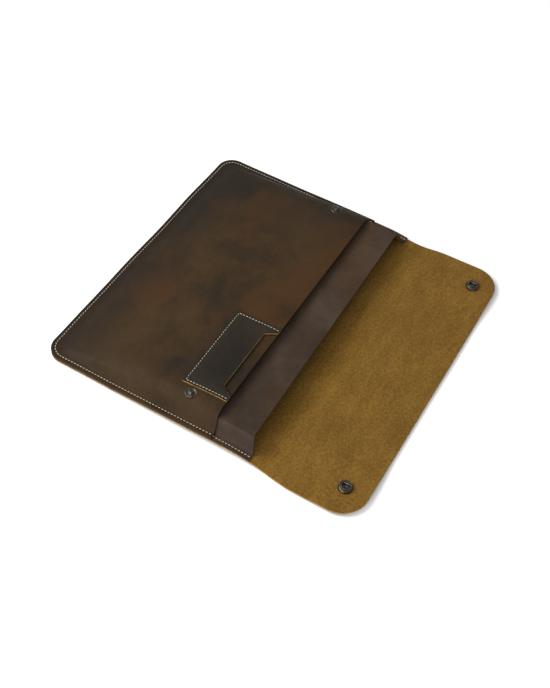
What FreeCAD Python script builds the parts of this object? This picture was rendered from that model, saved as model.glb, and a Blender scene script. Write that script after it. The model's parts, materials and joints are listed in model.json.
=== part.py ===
import FreeCAD, Part
import math
import os
import Sketcher

# Leather laptop sleeve with its flap open, lying on its back.
# X runs across the sleeve, the mouth and the flap point towards -Y, +Z is up.
# The origin is the centre of the back panel's underside.
# One hide makes the back, the fold and the flap. A divider and a front panel are sewn on
# it in one seam round three sides, a card pocket is sewn on the front, and two press
# fasteners hold the closed flap.

SIZES = (
    ("device_width", 304.2, "widest laptop the back compartment takes"),
    ("device_depth", 212.4, "deepest laptop the back compartment takes"),
    ("device_height", 16.0, "height inside the back compartment"),
    ("device_side_clear", 0.7, "room beside the laptop, each side"),
    ("device_end_clear", 0.3, "room behind the laptop"),
    ("mouth_margin", 3.6, "divider leather past the laptop"),
    ("document_gap", 5.0, "height inside the document pocket"),
    ("document_reveal", 40.0, "divider shown past the front panel"),
    ("hide_thickness", 2.0, "back panel, fold and flap leather"),
    ("divider_thickness", 1.6, "divider leather"),
    ("front_thickness", 1.8, "front panel leather"),
    ("wall_run", 2.0, "lean of a side wall over the laptop's height"),
    ("wall_clear", 0.4, "gap between the divider's and the front's walls"),
    ("seam_allowance", 5.9, "flat rim outside the front panel's wall"),
    ("outer_corner", 16.0, "radius of the closed end's corners"),
    ("inner_corner", 6.0, "radius of the walls' corners"),
    ("stitch_inset", 4.0, "seam line to leather edge"),
    ("stitch_pitch", 3.3, "seam stitch length"),
    ("stitch_gap", 0.8, "bare leather between two stitches"),
    ("thread_radius", 0.4, "thread half thickness"),
    ("groove_width", 1.2, "channel pressed by the stitches"),
    ("groove_depth", 0.45, "channel depth on the outer side"),
    ("under_groove_depth", 0.9, "channel depth on the underside"),
    ("fold_start", 0.5, "divider mouth to first bend"),
    ("fold_length", 7.0, "strip of hide between the two bends"),
    ("fold_gap", 0.3, "cut between strip and neighbours"),
    ("flap_spread", 3.5, "flap wider than the body, each side"),
    ("flap_tip_margin", 22.0, "leather past the sockets"),
    ("flap_corner", 27.0, "radius of the flap's corners"),
    ("flap_shoulder", 3.0, "radius where the flap meets the strip"),
    ("stud_inset", 23.2, "studs from the leather's side edge"),
    ("stud_setback", 37.0, "studs behind the front panel's mouth"),
    ("stud_flange_radius", 5.8, "stud base"),
    ("stud_flange", 0.9, "stud base thickness"),
    ("stud_head_radius", 2.8, "stud head"),
    ("stud_neck_radius", 2.3, "stud neck"),
    ("stud_neck", 0.9, "stud neck height"),
    ("stud_head", 1.2, "stud head height"),
    ("snap_clear", 0.3, "stud base to closed socket"),
    ("fit_clear", 0.1, "radial room round shanks"),
    ("post_radius", 4.5, "eyelet flange inside the document pocket"),
    ("post_flange", 0.6, "eyelet flange thickness"),
    ("post_shank_radius", 1.6, "eyelet shank"),
    ("socket_radius", 7.0, "socket outside"),
    ("socket_height", 3.0, "socket height on the leather"),
    ("socket_wall", 0.9, "socket rim thickness"),
    ("socket_plate", 0.5, "socket base and lip thickness"),
    ("socket_mouth_radius", 3.8, "hole that takes the stud"),
    ("spring_offset", 3.3, "spring leg from the middle"),
    ("spring_leg", 2.4, "half length of a straight spring leg"),
    ("spring_wire_radius", 0.3, "spring wire"),
    ("spring_level", 1.9, "spring wire above the flap leather"),
    ("cap_radius", 7.5, "cap on the flap's outer side"),
    ("cap_height", 2.2, "cap height at its middle"),
    ("cap_edge", 1.0, "cap height at its edge"),
    ("cap_shank_radius", 2.2, "cap shank"),
    ("cap_flare_radius", 3.2, "flared end of the shank in the socket"),
    ("cap_flare", 0.4, "flare thickness"),
    ("pocket_width", 99.0, "card pocket across"),
    ("pocket_height", 51.0, "card pocket from base to mouth edge"),
    ("pocket_snap_gap", 0.4, "card pocket's edge to the closed socket"),
    ("pocket_thickness", 1.4, "card pocket leather"),
    ("card_gap", 1.0, "room for cards"),
    ("pocket_rim", 4.6, "flat sewn rim of the card pocket"),
    ("pocket_slope", 2.0, "rise from the rim to the raised middle"),
    ("pocket_corner", 1.5, "corner radius of the card pocket"),
    ("pocket_stitch_inset", 2.6, "pocket seam to its edge"),
    ("pocket_pitch", 3.0, "pocket stitch length"),
    ("notch_depth", 11.0, "thumb cut-out depth"),
    ("notch_tab", 6.2, "leather beside the cut-out at the edge"),
    ("notch_slant", 7.5, "run of the cut-out's slanted ends"),
)

doc = FreeCAD.newDocument("laptop_sleeve")
sheet = doc.addObject("Spreadsheet::Sheet", "Sizes")
for row, (alias, amount, note) in enumerate(SIZES, 1):
    sheet.set(f"A{row}", note)
    sheet.set(f"B{row}", str(amount))
    sheet.setAlias(f"B{row}", alias)
doc.recompute()


def total(*terms):
    """Expression that adds sheet aliases, numbers and other expressions."""
    known = {alias for alias, amount, note in SIZES}
    return "(" + " + ".join(f"Sizes.{term}" if term in known else str(term) for term in terms) + ")"


def minus(first, *others):
    """Expression for first less the sum of the others."""
    return f"({total(first)} - {total(*others)})"


def half(term):
    """Expression for half of a term."""
    return f"({total(term)} / 2)"


def negative(term):
    """Expression with the opposite sign."""
    return f"(0 - {total(term)})"


def number(expression):
    """Value of an expression in millimetres or degrees."""
    result = sheet.evalExpression(total(expression))
    return float(getattr(result, "Value", result))


# Heights of the stacked leather, from the surface that the sleeve lies on.
DIVIDER_UNDER = total("hide_thickness", "device_height")
DIVIDER_TOP = total(DIVIDER_UNDER, "divider_thickness")
FRONT_UNDER = total(DIVIDER_TOP, "document_gap")
FRONT_TOP = total(FRONT_UNDER, "front_thickness")
DIVIDER_RIM = total("hide_thickness", "divider_thickness")
FRONT_RIM = total(DIVIDER_RIM, "front_thickness")
FLAP_CLOSED_UNDER = total(FRONT_TOP, "stud_flange", "snap_clear", "socket_height")

# Half widths of the nested walls, from the laptop outwards.
DIVIDER_IN_TOP = total(half("device_width"), "device_side_clear")
DIVIDER_IN_BASE = total(DIVIDER_IN_TOP, "wall_run")
DIVIDER_OUT_TOP = total(DIVIDER_IN_TOP, "divider_thickness")
DIVIDER_OUT_BASE = total(DIVIDER_IN_BASE, "divider_thickness")
FRONT_IN_BASE = total(DIVIDER_OUT_BASE, "wall_clear")
FRONT_LEAN = (f"(Sizes.wall_run * ({FRONT_UNDER} - {DIVIDER_RIM}) "
              f"/ ({DIVIDER_TOP} - {DIVIDER_RIM}))")
FRONT_IN_TOP = minus(FRONT_IN_BASE, FRONT_LEAN)
FRONT_OUT_BASE = total(FRONT_IN_BASE, "front_thickness")
FRONT_OUT_TOP = total(FRONT_IN_TOP, "front_thickness")
BODY_HALF = total(FRONT_OUT_BASE, "seam_allowance")
FLAP_HALF = total(BODY_HALF, "flap_spread")

# Places along the sleeve. Each wall stands as far from the closed end as from a side.
RIM_TO_DEVICE = minus(BODY_HALF, DIVIDER_IN_TOP)
DIVIDER_LENGTH = total(RIM_TO_DEVICE, "device_end_clear", "device_depth", "mouth_margin")
PANEL_LENGTH = total(DIVIDER_LENGTH, "fold_start")
CLOSED_END = half(PANEL_LENGTH)
DIVIDER_MOUTH = minus(CLOSED_END, DIVIDER_LENGTH)
FRONT_MOUTH = total(DIVIDER_MOUTH, "document_reveal")
FIRST_BEND = negative(half(PANEL_LENGTH))
SECOND_BEND = minus(FIRST_BEND, "fold_length")
STUD_ACROSS = minus(BODY_HALF, "stud_inset")
STUD_PLACE = total(FRONT_MOUTH, "stud_setback")
SOCKET_REACH = minus(STUD_PLACE, FIRST_BEND)
SOCKET_PLACE = minus(SECOND_BEND, SOCKET_REACH)
FLAP_TIP = minus(SOCKET_PLACE, "flap_tip_margin")
BEND_HEIGHT = total(half("hide_thickness"), half(minus(FLAP_CLOSED_UNDER, "fold_length")))


def back_of(half_width):
    """Place of a wall's closed end, set back as its sides are."""
    return minus(CLOSED_END, minus(BODY_HALF, half_width))


def new_body(label):
    """Empty body that carries one sub-part."""
    body = doc.addObject("PartDesign::Body", label)
    body.Label = label
    return body


def new_sketch(body, name, plane="XY_Plane", height="0"):
    """Sketch on one of the body's own planes, lifted by an expression."""
    sketch = body.newObject("Sketcher::SketchObject", f"{body.Label}_{name}")
    role = next(item for item in body.Origin.OriginFeatures if item.Role == plane)
    sketch.AttachmentSupport = [(role, "")]
    sketch.MapMode = "FlatFace"
    sketch.setExpression("AttachmentOffset.Base.z", total(height))
    return sketch


def turn_arc(corner, before, after, radius):
    """Arc that rounds a corner, and which of its ends the arriving line meets."""
    arriving = (corner - before).normalize()
    leaving = (after - corner).normalize()
    centre = corner - arriving * radius + leaving * radius
    first = corner - arriving * radius - centre
    last = corner + leaving * radius - centre
    turns_left = arriving.cross(leaving).z > 0
    start, finish = (first, last) if turns_left else (last, first)
    begin = math.atan2(start.y, start.x)
    sweep = (math.atan2(finish.y, finish.x) - begin) % (2 * math.pi)
    circle = Part.Circle(centre, FreeCAD.Vector(0, 0, 1), radius)
    return Part.ArcOfCircle(circle, begin, begin + sweep), 1 if turns_left else 2


def dome_arc(begin, finish):
    """Arc between two points with its centre on the sketch's vertical axis."""
    middle = (finish.x ** 2 - begin.x ** 2 + finish.y ** 2 - begin.y ** 2) / (2 * (finish.y - begin.y))
    centre = FreeCAD.Vector(0, middle, 0)
    angles = [math.atan2(point.y - middle, point.x) for point in (begin, finish)]
    circle = Part.Circle(centre, FreeCAD.Vector(0, 0, 1), (begin - centre).Length)
    return Part.ArcOfCircle(circle, angles[0], angles[1])


def draw_outline(sketch, corners, dome=None):
    """Closed outline through corners given as (x, y, radius) expressions.

    Radius None leaves a corner sharp, and only corners of upright and level lines are
    rounded. The segment numbered dome is an arc centred on the sketch's vertical axis.
    """
    count = len(corners)
    points = [FreeCAD.Vector(number(x), number(y), 0) for x, y, radius in corners]
    radii = [None if radius is None else number(radius) for x, y, radius in corners]
    segments = []
    for index in range(count):
        after = (index + 1) % count
        along = (points[after] - points[index]).normalize()
        begin = points[index] + along * (radii[index] or 0)
        finish = points[after] - along * (radii[after] or 0)
        shape = dome_arc(begin, finish) if index == dome else Part.LineSegment(begin, finish)
        segments.append(sketch.addGeometry(shape, False))
    if dome is not None:
        sketch.addConstraint(Sketcher.Constraint("PointOnObject", segments[dome], 3, -2))

    def bind(kind, segment, expression):
        place = sketch.addConstraint(
            Sketcher.Constraint(kind, -1, 1, segment, 1, number(expression)))
        sketch.setExpression(f"Constraints[{place}]", total(expression))

    upright = []
    level = []
    for index, (x, y, radius) in enumerate(corners):
        next_x, next_y, next_radius = corners[(index + 1) % count]
        upright.append(index != dome and x == next_x)
        level.append(index != dome and y == next_y)
        if upright[index]:
            sketch.addConstraint(Sketcher.Constraint("Vertical", segments[index]))
            bind("DistanceX", segments[index], x)
        if level[index]:
            sketch.addConstraint(Sketcher.Constraint("Horizontal", segments[index]))
            bind("DistanceY", segments[index], y)
    for index, (x, y, radius) in enumerate(corners):
        before = segments[index - 1]
        if radius is None:
            sketch.addConstraint(
                Sketcher.Constraint("Coincident", before, 2, segments[index], 1))
            if not (upright[index] or upright[index - 1]):
                bind("DistanceX", segments[index], x)
            if not (level[index] or level[index - 1]):
                bind("DistanceY", segments[index], y)
            continue
        arc, meets = turn_arc(points[index], points[index - 1],
                              points[(index + 1) % count], radii[index])
        turned = sketch.addGeometry(arc, False)
        sketch.addConstraint(Sketcher.Constraint("Tangent", before, 2, turned, meets))
        sketch.addConstraint(
            Sketcher.Constraint("Tangent", turned, 3 - meets, segments[index], 1))
        place = sketch.addConstraint(Sketcher.Constraint("Radius", turned, radii[index]))
        sketch.setExpression(f"Constraints[{place}]", total(radius))


def panel_corners(half_width, back, front, radius, centre="0"):
    """Panel with two rounded corners at its closed end."""
    left = minus(centre, half_width)
    right = total(centre, half_width)
    return [(left, front, None), (left, back, radius), (right, back, radius),
            (right, front, None)]


def band_corners(half_width, back, front, radius, inset, centre="0"):
    """Channel round three sides, its middle line inset from the panel's edge."""
    outer = minus(inset, half("groove_width"))
    inner = total(inset, half("groove_width"))
    outer_half = minus(half_width, outer)
    inner_half = minus(half_width, inner)
    outer_radius = f"max({minus(radius, outer)}; 0.9)"
    inner_radius = f"max({minus(radius, inner)}; 0.3)"
    return [
        (minus(centre, outer_half), front, None),
        (minus(centre, outer_half), minus(back, outer), outer_radius),
        (total(centre, outer_half), minus(back, outer), outer_radius),
        (total(centre, outer_half), front, None),
        (total(centre, inner_half), front, None),
        (total(centre, inner_half), minus(back, inner), inner_radius),
        (minus(centre, inner_half), minus(back, inner), inner_radius),
        (minus(centre, inner_half), front, None),
    ]


def pad(body, name, corners, height, thickness):
    """Sheet of leather with an outline, from a height upwards."""
    sketch = new_sketch(body, f"{name}_outline", height=height)
    draw_outline(sketch, corners)
    feature = body.newObject("PartDesign::Pad", f"{body.Label}_{name}")
    feature.Profile = sketch
    feature.setExpression("Length", total(thickness))
    return feature


def cut(body, name, corners, height, depth, upwards=False):
    """Pocket with an outline, downwards or upwards from a height."""
    sketch = new_sketch(body, f"{name}_outline", height=height)
    draw_outline(sketch, corners)
    feature = body.newObject("PartDesign::Pocket", f"{body.Label}_{name}")
    feature.Profile = sketch
    feature.Reversed = upwards
    feature.setExpression("Length", total(depth))
    return feature


def loft(body, name, kind, lower, low_height, upper, high_height):
    """Tapered block or hollow between two outlines."""
    base = new_sketch(body, f"{name}_low", height=low_height)
    draw_outline(base, lower)
    top = new_sketch(body, f"{name}_high", height=high_height)
    draw_outline(top, upper)
    feature = body.newObject(f"PartDesign::{kind}Loft", f"{body.Label}_{name}")
    feature.Profile = base
    feature.Sections = [top]
    feature.Ruled = True
    return feature


def round_hole(body, name, radius, height, depth, across, along):
    """Round hole upwards from a height."""
    sketch = new_sketch(body, f"{name}_circle", height=height)
    centre = FreeCAD.Vector(number(across), number(along), 0)
    ring = sketch.addGeometry(
        Part.Circle(centre, FreeCAD.Vector(0, 0, 1), number(radius)), False)
    for kind, amount in (("DistanceX", across), ("DistanceY", along)):
        place = sketch.addConstraint(Sketcher.Constraint(kind, -1, 1, ring, 3, number(amount)))
        sketch.setExpression(f"Constraints[{place}]", total(amount))
    place = sketch.addConstraint(Sketcher.Constraint("Radius", ring, number(radius)))
    sketch.setExpression(f"Constraints[{place}]", total(radius))
    feature = body.newObject("PartDesign::Pocket", f"{body.Label}_{name}")
    feature.Profile = sketch
    feature.Reversed = True
    feature.setExpression("Length", total(depth))
    return feature


def revolve(label, corners, dome=None):
    """Turned metal piece from a half profile on the body's XZ plane."""
    body = new_body(label)
    sketch = new_sketch(body, "profile", plane="XZ_Plane")
    draw_outline(sketch, corners, dome)
    feature = body.newObject("PartDesign::Revolution", f"{label}_turned")
    feature.Profile = sketch
    feature.ReferenceAxis = (sketch, ["V_Axis"])
    feature.Angle = 360
    return body


# The flap rests on its two caps, so it is turned up a little about the second bend.
CAP_SAG = number(minus("cap_height", "cap_edge"))
CAP_SPHERE = (number("cap_radius") ** 2 + CAP_SAG ** 2) / (2 * CAP_SAG)
CAP_DROP = number(BEND_HEIGHT) - (CAP_SPHERE - number("cap_height"))
CAP_ARM = math.hypot(number(SOCKET_REACH), CAP_DROP)
FLAP_LIFT = math.degrees(math.atan2(CAP_DROP, number(SOCKET_REACH))
                         + math.asin((CAP_SPHERE - number(BEND_HEIGHT)) / CAP_ARM))
second_bend_point = FreeCAD.Vector(0, number(SECOND_BEND), number(BEND_HEIGHT))
LIFTED = FreeCAD.Placement(FreeCAD.Vector(0, 0, 0),
                           FreeCAD.Rotation(FreeCAD.Vector(1, 0, 0), -FLAP_LIFT),
                           second_bend_point)
SIDES = (("left", -1), ("right", 1))
pieces = []


def make_back_panel():
    """Back half of the hide, with the under thread's channel in its outer side."""
    body = new_body("back_panel")
    pad(body, "leather", panel_corners(BODY_HALF, CLOSED_END, FIRST_BEND, "outer_corner"),
        "0", "hide_thickness")
    cut(body, "channel", band_corners(BODY_HALF, CLOSED_END, DIVIDER_MOUTH, "outer_corner",
                                      "stitch_inset"),
        "0", "under_groove_depth", upwards=True)
    pieces.append(body)


def make_flap_fold():
    """Strip of the hide between the two bends."""
    body = new_body("flap_fold")
    left = negative(BODY_HALF)
    back = minus(FIRST_BEND, "fold_gap")
    pad(body, "leather", [(left, SECOND_BEND, None), (left, back, None),
                          (BODY_HALF, back, None), (BODY_HALF, SECOND_BEND, None)],
        "0", "hide_thickness")
    pieces.append(body)


def make_flap():
    """Flap of the hide, drawn flat and lifted to rest on its caps."""
    body = new_body("flap")
    left = negative(FLAP_HALF)
    back = minus(SECOND_BEND, "fold_gap")
    pad(body, "leather", [(left, FLAP_TIP, "flap_corner"), (left, back, "flap_shoulder"),
                          (FLAP_HALF, back, "flap_shoulder"),
                          (FLAP_HALF, FLAP_TIP, "flap_corner")],
        "0", "hide_thickness")
    for side, sign in SIDES:
        round_hole(body, f"hole_{side}", total("cap_shank_radius", "fit_clear"), "0",
                   "hide_thickness", f"({sign} * {STUD_ACROSS})", SOCKET_PLACE)
    body.Placement = LIFTED
    pieces.append(body)


def make_divider_panel():
    """Middle panel: the roof of the laptop compartment, with walls on three sides."""
    body = new_body("divider_panel")
    pad(body, "rim", panel_corners(BODY_HALF, CLOSED_END, DIVIDER_MOUTH, "outer_corner"),
        "hide_thickness", "divider_thickness")
    loft(body, "shell", "Additive",
         panel_corners(DIVIDER_OUT_BASE, back_of(DIVIDER_OUT_BASE), DIVIDER_MOUTH,
                       total("inner_corner", "divider_thickness")), "hide_thickness",
         panel_corners(DIVIDER_OUT_TOP, back_of(DIVIDER_OUT_TOP), DIVIDER_MOUTH,
                       total("inner_corner", "divider_thickness")), DIVIDER_TOP)
    loft(body, "hollow", "Subtractive",
         panel_corners(DIVIDER_IN_BASE, back_of(DIVIDER_IN_BASE), DIVIDER_MOUTH,
                       "inner_corner"), "hide_thickness",
         panel_corners(DIVIDER_IN_TOP, back_of(DIVIDER_IN_TOP), DIVIDER_MOUTH,
                       "inner_corner"), DIVIDER_UNDER)
    near = minus(BODY_HALF, "stitch_inset", half("groove_width"))
    far = total(near, "groove_width")
    for side, low, high in (("left", negative(far), negative(near)), ("right", near, far)):
        cut(body, f"channel_{side}", [(low, DIVIDER_MOUTH, None), (low, FRONT_MOUTH, None),
                                      (high, FRONT_MOUTH, None), (high, DIVIDER_MOUTH, None)],
            DIVIDER_RIM, "groove_depth")
    pieces.append(body)


def make_front_panel():
    """Front panel over the document pocket, with its seam channels and stud holes."""
    body = new_body("front_panel")
    pad(body, "rim", panel_corners(BODY_HALF, CLOSED_END, FRONT_MOUTH, "outer_corner"),
        DIVIDER_RIM, "front_thickness")
    outer_corner = total("inner_corner", "divider_thickness", "wall_clear", "front_thickness")
    inner_corner = total("inner_corner", "divider_thickness", "wall_clear")
    loft(body, "shell", "Additive",
         panel_corners(FRONT_OUT_BASE, back_of(FRONT_OUT_BASE), FRONT_MOUTH, outer_corner),
         DIVIDER_RIM,
         panel_corners(FRONT_OUT_TOP, back_of(FRONT_OUT_TOP), FRONT_MOUTH, outer_corner),
         FRONT_TOP)
    loft(body, "hollow", "Subtractive",
         panel_corners(FRONT_IN_BASE, back_of(FRONT_IN_BASE), FRONT_MOUTH, inner_corner),
         DIVIDER_RIM,
         panel_corners(FRONT_IN_TOP, back_of(FRONT_IN_TOP), FRONT_MOUTH, inner_corner),
         FRONT_UNDER)
    cut(body, "channel", band_corners(BODY_HALF, CLOSED_END, FRONT_MOUTH, "outer_corner",
                                      "stitch_inset"), FRONT_RIM, "groove_depth")
    cut(body, "pocket_channel", pocket_band(), FRONT_UNDER, "groove_depth", upwards=True)
    for side, sign in SIDES:
        round_hole(body, f"hole_{side}", total("post_shank_radius", "fit_clear"), FRONT_UNDER,
                   "front_thickness", f"({sign} * {STUD_ACROSS})", STUD_PLACE)
    pieces.append(body)


POCKET_HALF = half("pocket_width")
POCKET_CENTRE = minus(POCKET_HALF, minus(STUD_ACROSS, "socket_radius", "pocket_snap_gap"))
POCKET_BACK = total(FRONT_MOUTH, "pocket_height")


def pocket_band():
    """Channel of the card pocket's seam."""
    return band_corners(POCKET_HALF, POCKET_BACK, FRONT_MOUTH, "pocket_corner",
                        "pocket_stitch_inset", POCKET_CENTRE)


def make_card_pocket():
    """Card pocket: flat sewn rim, raised middle, thumb cut-out at the mouth."""
    body = new_body("card_pocket")
    pad(body, "rim", panel_corners(POCKET_HALF, POCKET_BACK, FRONT_MOUTH, "pocket_corner",
                                   POCKET_CENTRE), FRONT_TOP, "pocket_thickness")
    outer = minus(POCKET_HALF, "pocket_rim")
    inner = minus(outer, "pocket_slope")
    outer_back = minus(POCKET_BACK, "pocket_rim")
    inner_back = minus(outer_back, "pocket_slope")
    under = total(FRONT_TOP, "card_gap")
    loft(body, "raised", "Additive",
         panel_corners(outer, outer_back, FRONT_MOUTH, "pocket_corner", POCKET_CENTRE),
         FRONT_TOP,
         panel_corners(inner, inner_back, FRONT_MOUTH, "pocket_corner", POCKET_CENTRE),
         total(under, "pocket_thickness"))
    loft(body, "hollow", "Subtractive",
         panel_corners(inner, inner_back, FRONT_MOUTH, "pocket_corner", POCKET_CENTRE),
         FRONT_TOP,
         panel_corners(minus(inner, half("pocket_slope")),
                       minus(inner_back, half("pocket_slope")), FRONT_MOUTH,
                       "pocket_corner", POCKET_CENTRE), under)
    cut(body, "channel", pocket_band(), total(FRONT_TOP, "pocket_thickness"), "groove_depth")
    wide = minus(POCKET_HALF, "notch_tab")
    narrow = minus(wide, "notch_slant")
    deep = total(FRONT_MOUTH, "notch_depth")
    cut(body, "thumb_notch",
        [(minus(POCKET_CENTRE, wide), FRONT_MOUTH, None),
         (minus(POCKET_CENTRE, narrow), deep, None),
         (total(POCKET_CENTRE, narrow), deep, None),
         (total(POCKET_CENTRE, wide), FRONT_MOUTH, None)],
        total(under, "pocket_thickness"), total("card_gap", "pocket_thickness"))
    pieces.append(body)


def make_cap(side, sign):
    """Domed cap on the flap's outer side, with its shank flared inside the socket."""
    shank_top = total("hide_thickness", "socket_plate")
    flare_top = total(shank_top, "cap_flare")
    body = revolve(f"cap_{side}", [
        ("0", negative("cap_height"), None),
        ("cap_radius", negative("cap_edge"), None),
        ("cap_radius", "0", None),
        ("cap_shank_radius", "0", None),
        ("cap_shank_radius", shank_top, None),
        ("cap_flare_radius", shank_top, None),
        ("cap_flare_radius", flare_top, None),
        ("0", flare_top, None)], dome=0)
    place_on_flap(body, sign, 0)


def place_on_flap(body, sign, height):
    """Put a press fastener piece on the flap at its socket place."""
    spot = FreeCAD.Vector(sign * number(STUD_ACROSS), number(SOCKET_PLACE), height)
    body.Placement = LIFTED.multiply(FreeCAD.Placement(spot, FreeCAD.Rotation()))
    pieces.append(body)


def make_socket(side, sign):
    """Socket on the flap's inner side: base, rim and inward lip."""
    lip = minus("socket_height", "socket_plate")
    inside = minus("socket_radius", "socket_wall")
    hole = total("cap_shank_radius", "fit_clear")
    body = revolve(f"socket_{side}", [
        (hole, "0", None),
        ("socket_radius", "0", None),
        ("socket_radius", "socket_height", None),
        ("socket_mouth_radius", "socket_height", None),
        ("socket_mouth_radius", lip, None),
        (inside, lip, None),
        (inside, "socket_plate", None),
        (hole, "socket_plate", None)])
    place_on_flap(body, sign, number("hide_thickness"))


def make_socket_spring(side, sign):
    """Hairpin of wire inside the socket, sprung open beside the stud."""
    path = doc.addObject("Sketcher::SketchObject", f"spring_path_{side}")
    offset = number("spring_offset")
    leg = number("spring_leg")
    turn = Part.Circle(FreeCAD.Vector(0, leg, 0), FreeCAD.Vector(0, 0, 1), offset)
    left = path.addGeometry(
        Part.LineSegment(FreeCAD.Vector(-offset, -leg, 0), FreeCAD.Vector(-offset, leg, 0)), False)
    arc = path.addGeometry(Part.ArcOfCircle(turn, 0, math.pi), False)
    right = path.addGeometry(
        Part.LineSegment(FreeCAD.Vector(offset, leg, 0), FreeCAD.Vector(offset, -leg, 0)), False)
    path.addConstraint(Sketcher.Constraint("Tangent", left, 2, arc, 2))
    path.addConstraint(Sketcher.Constraint("Tangent", arc, 1, right, 1))
    path.addConstraint(Sketcher.Constraint("Vertical", left))
    path.addConstraint(Sketcher.Constraint("Vertical", right))
    for kind, line, end, amount in (
            ("DistanceX", left, 1, negative("spring_offset")),
            ("DistanceY", left, 1, negative("spring_leg")),
            ("DistanceY", left, 2, "spring_leg"),
            ("DistanceX", right, 2, "spring_offset"),
            ("DistanceY", right, 2, negative("spring_leg"))):
        place = path.addConstraint(Sketcher.Constraint(kind, -1, 1, line, end, number(amount)))
        path.setExpression(f"Constraints[{place}]", total(amount))
    ring = doc.addObject("Part::Circle", f"spring_section_{side}")
    ring.setExpression("Radius", total("spring_wire_radius"))
    ring.setExpression("Placement.Base.x", negative("spring_offset"))
    ring.setExpression("Placement.Base.y", negative("spring_leg"))
    ring.Placement.Rotation = FreeCAD.Rotation(FreeCAD.Vector(1, 0, 0), 90)
    wire = doc.addObject("Part::Sweep", f"socket_spring_{side}")
    wire.Label = f"socket_spring_{side}"
    wire.Sections = [ring]
    wire.Spine = (path, [])
    wire.Solid = True
    wire.Frenet = False
    doc.recompute()
    place_on_flap(wire, sign, number(total("hide_thickness", "spring_level")))


def make_stud(side, sign):
    """Stud on the front panel: base, neck and bulged head, bored for the eyelet."""
    bore = total("post_shank_radius", "fit_clear")
    neck_top = total("stud_flange", "stud_neck")
    head_top = total(neck_top, "stud_head")
    body = revolve(f"stud_{side}", [
        (bore, "0", None),
        ("stud_flange_radius", "0", None),
        ("stud_flange_radius", "stud_flange", None),
        ("stud_neck_radius", "stud_flange", None),
        ("stud_head_radius", neck_top, None),
        ("stud_neck_radius", head_top, None),
        (bore, head_top, None)])
    spot = FreeCAD.Vector(sign * number(STUD_ACROSS), number(STUD_PLACE), number(FRONT_TOP))
    body.Placement = FreeCAD.Placement(spot, FreeCAD.Rotation())
    pieces.append(body)


def make_stud_post(side, sign):
    """Eyelet that clamps the stud from inside the document pocket."""
    shank_top = total("front_thickness", "stud_flange", "stud_neck", half("stud_head"))
    body = revolve(f"stud_post_{side}", [
        ("0", negative("post_flange"), None),
        ("post_radius", negative("post_flange"), None),
        ("post_radius", "0", None),
        ("post_shank_radius", "0", None),
        ("post_shank_radius", shank_top, None),
        ("0", shank_top, None)])
    spot = FreeCAD.Vector(sign * number(STUD_ACROSS), number(STUD_PLACE), number(FRONT_UNDER))
    body.Placement = FreeCAD.Placement(spot, FreeCAD.Rotation())
    pieces.append(body)


def seam_wire(half_width, back, front, radius, centre):
    """Path of a seam round three sides, from mouth to mouth."""
    left = centre - half_width
    right = centre + half_width
    bend = radius * (1 - math.sqrt(0.5))
    lines = (((left, front), (left, back - radius)), ((left + radius, back), (right - radius, back)),
             ((right, back - radius), (right, front)))
    edges = [Part.LineSegment(FreeCAD.Vector(*begin, 0), FreeCAD.Vector(*finish, 0)).toShape()
             for begin, finish in lines]
    for at, points in ((1, ((left, back - radius), (left + bend, back - bend), (left + radius, back))),
                       (3, ((right - radius, back), (right - bend, back - bend),
                            (right, back - radius)))):
        edges.insert(at, Part.Arc(*[FreeCAD.Vector(*point, 0) for point in points]).toShape())
    return Part.Wire(edges)


def stitch_solids(path, pitch, level):
    """Short rods of thread along a path, at a height that depends on the place."""
    count = round(path.Length / pitch)
    ends = path.discretize(Number=count + 1)
    bare = number("stitch_gap") / 2
    solids = []
    for begin, finish in zip(ends, ends[1:]):
        along = (finish - begin).normalize()
        start = begin + along * bare
        start.z = level((begin + finish) / 2)
        length = (finish - begin).Length - 2 * bare
        solids.append(Part.makeCylinder(number("thread_radius"), length, start, along))
    return Part.makeCompound(solids)


def make_thread(label, shape):
    """Node that holds one line of thread."""
    thread = doc.addObject("Part::Feature", label)
    thread.Label = label
    thread.Shape = shape
    pieces.append(thread)


def make_threads():
    """Needle and under threads of the body seam and of the card pocket's seam."""
    inset = number("stitch_inset")
    sunk = number("thread_radius") - number("groove_depth")
    seam = seam_wire(number(BODY_HALF) - inset, number(CLOSED_END) - inset,
                     number(DIVIDER_MOUTH), number("outer_corner") - inset, 0)
    front_mouth = number(FRONT_MOUTH)

    def seam_level(point):
        return number(FRONT_RIM if point.y > front_mouth else DIVIDER_RIM) + sunk

    make_thread("seam_thread", stitch_solids(seam, number("stitch_pitch"), seam_level))
    under = number("under_groove_depth") - number("thread_radius")
    make_thread("seam_under_thread",
                stitch_solids(seam, number("stitch_pitch"), lambda point: under))
    pocket_inset = number("pocket_stitch_inset")
    pocket_seam = seam_wire(number(POCKET_HALF) - pocket_inset, number(POCKET_BACK) - pocket_inset,
                            front_mouth, number("thread_radius"), number(POCKET_CENTRE))
    upper = number(total(FRONT_TOP, "pocket_thickness")) + sunk
    make_thread("pocket_thread",
                stitch_solids(pocket_seam, number("pocket_pitch"), lambda point: upper))
    lower = number(FRONT_UNDER) - sunk
    make_thread("pocket_under_thread",
                stitch_solids(pocket_seam, number("pocket_pitch"), lambda point: lower))


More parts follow.
